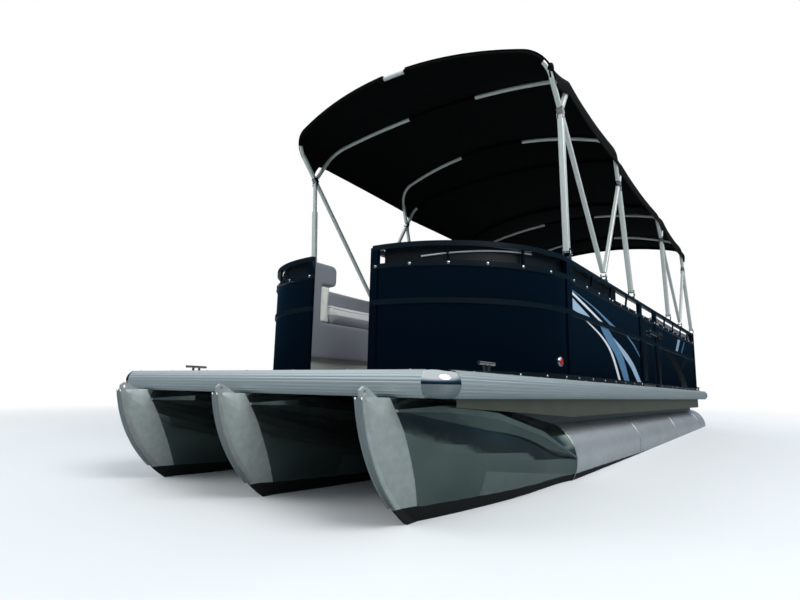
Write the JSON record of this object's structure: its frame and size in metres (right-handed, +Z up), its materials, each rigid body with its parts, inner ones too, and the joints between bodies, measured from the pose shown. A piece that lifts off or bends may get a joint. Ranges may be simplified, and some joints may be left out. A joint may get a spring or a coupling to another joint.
{
  "type": "pontoon boat",
  "caption": "Pontoon boat with three tubes, fenced deck with gates, bow lounges, helm with chair, folding canvas tops, tilting outboard motor and boarding ladder.",
  "frame": {"origin": "underside of the centre tube's keel strip, amidships, where the boat stands", "axes": "+X forward to the bow, +Y to port, +Z up"},
  "size_m": [8.6916, 2.5032, 3.1862],
  "materials": {
    "hull_metal": "brushed",
    "deck_board": "matte",
    "rail_metal": "satin",
    "skirt_paint": "satin",
    "fence_paint": "gloss",
    "seat_shell": "satin",
    "seat_vinyl": "satin",
    "console_shell": "gloss",
    "screen": "gloss",
    "top_tube": "satin",
    "fitting_metal": "satin",
    "canvas": "matte",
    "motor_paint": "gloss",
    "propeller_metal": "satin",
    "lamp_case": "gloss"
  },
  "bodies": {
    "boat": {"toon_port": "hull_metal", "toon_centre": "hull_metal", "toon_starboard": "hull_metal", "motor_pod": "hull_metal", "risers": "hull_metal", "cross_channels": "hull_metal", "deck": "deck_board", "deck_rail": "rail_metal", "corner_caps": "rail_metal", "side_skirts": "skirt_paint", "fence_bow_port": "fence_paint", "fence_bow_starboard": "fence_paint", "fence_side_port": "fence_paint", "fence_side_starboard": "fence_paint", "fence_stern": "fence_paint", "bow_bases": "seat_shell", "bow_seats": "seat_vinyl", "bow_backs": "seat_vinyl", "bow_end_cushions": "seat_vinyl", "stern_base": "seat_shell", "stern_seats": "seat_vinyl", "stern_backs": "seat_vinyl", "helm_console": "console_shell", "windscreen": "screen", "chair_pedestal": "seat_shell", "top_fittings": "fitting_metal", "top_legs": "top_tube", "top_bows": "top_tube", "canopy_front": "canvas", "canopy_bridge": "canvas", "canopy_rear": "canvas", "motor_clamp": "motor_paint", "fixed_hinges": "fitting_metal", "cleats": "fitting_metal", "lamps": "lamp_case"},
    "bow_gate": {"gate_bow": "fence_paint"},
    "side_gate": {"gate_side": "fence_paint"},
    "stern_gate": {"gate_stern": "fence_paint"},
    "swivel": {"swivel_bracket": "motor_paint"},
    "motor": {"motor_leg": "motor_paint", "motor_cowl": "motor_paint"},
    "propeller": {"propeller": "propeller_metal"},
    "helm_wheel": {"steering_wheel": "console_shell"},
    "chair": {"helm_chair": "seat_vinyl"},
    "ladder": {"boarding_ladder": "fitting_metal"}
  },
  "joints": [
    {"name": "bow_gate", "type": "hinge", "parent": "boat", "child": "bow_gate", "pos_m": [2.977, 0.256, 1.2], "axis": [0, 0, 1], "range_deg": [0, 90]},
    {"name": "side_gate", "type": "hinge", "parent": "boat", "child": "side_gate", "pos_m": [0.064, 1.152, 1.2], "axis": [0, 0, 1], "range_deg": [0, 90]},
    {"name": "stern_gate", "type": "hinge", "parent": "boat", "child": "stern_gate", "pos_m": [-3.16, -1.114, 1.2], "axis": [0, 0, -1], "range_deg": [0, 90]},
    {"name": "motor_tilt", "type": "hinge", "parent": "boat", "child": "swivel", "pos_m": [-3.78, 0, 0.64], "axis": [0, 1, 0], "range_deg": [-66, 0]},
    {"name": "motor_steer", "type": "hinge", "parent": "swivel", "child": "motor", "pos_m": [-3.81756, 0, 0.71064], "axis": [0.8829, 0, 0.4695], "range_deg": [-30, 30]},
    {"name": "propeller_spin", "type": "hinge", "parent": "motor", "child": "propeller", "pos_m": [-4.68182, 0, 0.78114], "axis": [0.4695, 0, -0.8829], "continuous": true},
    {"name": "helm_wheel", "type": "hinge", "parent": "boat", "child": "helm_wheel", "pos_m": [-0.22087, -0.8025, 1.55133], "axis": [-0.6097, 0, 0.7926], "range_deg": [-720, 720]},
    {"name": "chair_swivel", "type": "hinge", "parent": "boat", "child": "chair", "pos_m": [-0.88, -0.8025, 1.18], "axis": [0, 0, 1], "continuous": true},
    {"name": "ladder_fold", "type": "hinge", "parent": "boat", "child": "ladder", "pos_m": [-3.779, -0.82, 0.8], "axis": [0, -1, 0], "range_deg": [0, 228]}
  ],
  "couplings": [
    {"joint": "helm_wheel", "follows": "motor_steer", "ratio": -24}
  ]
}
